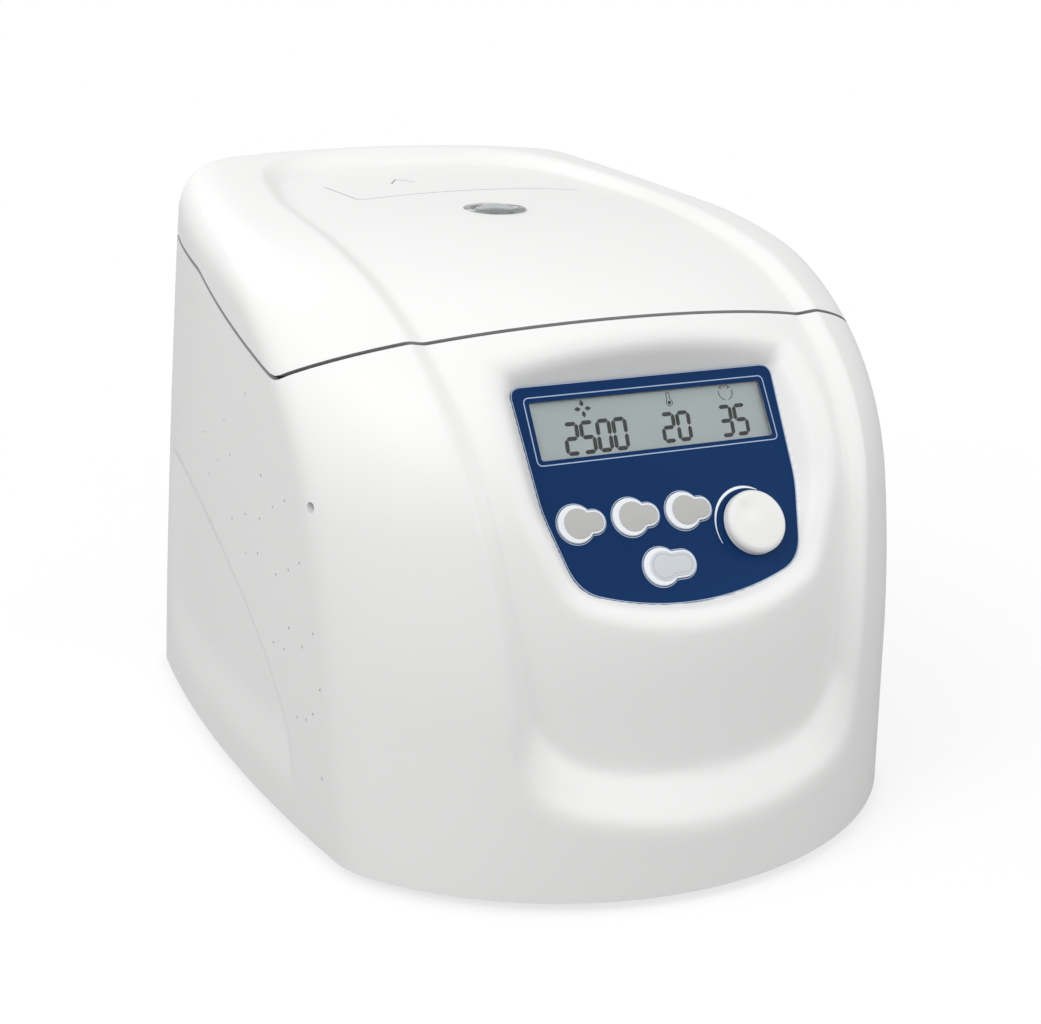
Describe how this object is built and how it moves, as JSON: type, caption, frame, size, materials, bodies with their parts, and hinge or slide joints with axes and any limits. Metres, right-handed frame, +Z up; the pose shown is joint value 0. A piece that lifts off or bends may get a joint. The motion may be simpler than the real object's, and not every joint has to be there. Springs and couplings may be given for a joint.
{
  "type": "microcentrifuge",
  "caption": "Bench microcentrifuge with a hinged lid over a fixed-angle rotor in a bowl, a tilted control panel with display, keys and a dial, and a rear inlet, switch and fan.",
  "frame": {"origin": "centre of the footprint's box at the level of the feet's undersides", "axes": "+X to the right seen from the front, +Y to the rear, +Z up"},
  "size_m": [0.28, 0.364, 0.2659],
  "materials": {
    "shell_white": "satin",
    "liner_white": "matte",
    "pan_steel": "powder coat",
    "rubber_black": "matte",
    "screw_steel": "satin",
    "bowl_steel": "brushed",
    "motor_paint": "satin",
    "hinge_steel": "satin",
    "lock_black": "matte",
    "overlay_blue": "satin film",
    "window_clear": "clear",
    "display_grey": "glass",
    "board_green": "solder mask",
    "encoder_metal": "satin",
    "rotor_aluminium": "anodised",
    "knob_black": "matte",
    "bezel_grey": "satin",
    "key_grey": "satin",
    "dial_white": "satin",
    "rocker_black": "gloss"
  },
  "bodies": {
    "casing": {"housing": "shell_white", "base_pan": "pan_steel", "foot_front_left": "rubber_black", "foot_front_right": "rubber_black", "foot_rear_left": "rubber_black", "foot_rear_right": "rubber_black", "base_screws": "screw_steel", "chamber_deck": "liner_white", "rotor_bowl": "bowl_steel", "bowl_collar": "rubber_black", "motor_mount": "pan_steel", "damper_1": "rubber_black", "damper_2": "rubber_black", "damper_3": "rubber_black", "motor_can": "motor_paint", "stator": "motor_paint", "upper_bearing": "screw_steel", "lower_bearing": "screw_steel", "hinge_base_left": "hinge_steel", "hinge_base_right": "hinge_steel", "hinge_pin_left": "screw_steel", "hinge_pin_right": "screw_steel", "lock_case": "lock_black", "panel_overlay": "overlay_blue", "display_window": "window_clear", "display_module": "display_grey", "display_board": "board_green", "key_switches": "lock_black", "encoder": "encoder_metal", "power_board": "board_green", "heat_sink": "encoder_metal", "capacitors": "encoder_metal", "power_inlet": "lock_black", "rocker_frame": "lock_black", "fan_frame": "lock_black", "fan_guard": "lock_black"},
    "lid": {"lid_shell": "shell_white", "lid_liner": "liner_white", "lid_gasket": "rubber_black", "sight_window": "window_clear", "window_bezel": "bezel_grey", "hinge_arm_left": "hinge_steel", "hinge_arm_right": "hinge_steel", "striker": "screw_steel"},
    "rotor_assembly": {"motor_shaft": "screw_steel", "rotor": "rotor_aluminium", "rotor_lid": "rotor_aluminium"},
    "rotor_knob": {"rotor_knob": "knob_black"},
    "lock_bolt": {"lock_bolt": "screw_steel"},
    "key_program": {"key_program": "key_grey"},
    "key_lid": {"key_lid": "key_grey"},
    "key_select": {"key_select": "key_grey"},
    "key_start": {"key_start": "key_grey"},
    "dial": {"dial": "dial_white"},
    "rocker": {"rocker": "rocker_black"},
    "fan_rotor": {"fan_rotor": "lock_black"},
    "fuse_drawer": {"fuse_drawer": "lock_black"}
  },
  "joints": [
    {"name": "lid_hinge", "type": "hinge", "parent": "casing", "child": "lid", "pos_m": [0, 0.1745, 0.23], "axis": [-1, 0, 0], "range_deg": [0, 72]},
    {"name": "rotor_spin", "type": "hinge", "parent": "casing", "child": "rotor_assembly", "pos_m": [0, 0.027, 0.1], "axis": [0, 0, 1], "continuous": true},
    {"name": "rotor_knob_turn", "type": "hinge", "parent": "rotor_assembly", "child": "rotor_knob", "pos_m": [0, 0.027, 0.18], "axis": [0, 0, 1], "continuous": true},
    {"name": "bolt_slide", "type": "slide", "parent": "casing", "child": "lock_bolt", "axis": [0, -1, 0], "range_m": [0, 0.008], "stiffness_N_per_m": 60},
    {"name": "dial_turn", "type": "hinge", "parent": "casing", "child": "dial", "pos_m": [0.0315, -0.14702, 0.13699], "axis": [0, -0.859, 0.512], "continuous": true},
    {"name": "rocker_tilt", "type": "hinge", "parent": "casing", "child": "rocker", "pos_m": [-0.018, 0.176, 0.044], "axis": [1, 0, 0], "range_deg": [0, 18]},
    {"name": "fan_spin", "type": "hinge", "parent": "casing", "child": "fan_rotor", "pos_m": [0.05, 0.166, 0.066], "axis": [0, 1, 0], "continuous": true},
    {"name": "fuse_drawer_pull", "type": "slide", "parent": "casing", "child": "fuse_drawer", "axis": [0, 1, 0], "range_m": [0, 0.013]},
    {"name": "key_program_press", "type": "slide", "parent": "casing", "child": "key_program", "axis": [0, 0.859, -0.512], "range_m": [0, 0.0012], "stiffness_N_per_m": 500},
    {"name": "key_lid_press", "type": "slide", "parent": "casing", "child": "key_lid", "axis": [0, 0.859, -0.512], "range_m": [0, 0.0012], "stiffness_N_per_m": 500},
    {"name": "key_select_press", "type": "slide", "parent": "casing", "child": "key_select", "axis": [0, 0.859, -0.512], "range_m": [0, 0.0012], "stiffness_N_per_m": 500},
    {"name": "key_start_press", "type": "slide", "parent": "casing", "child": "key_start", "axis": [0, 0.859, -0.512], "range_m": [0, 0.0012], "stiffness_N_per_m": 500}
  ]
}
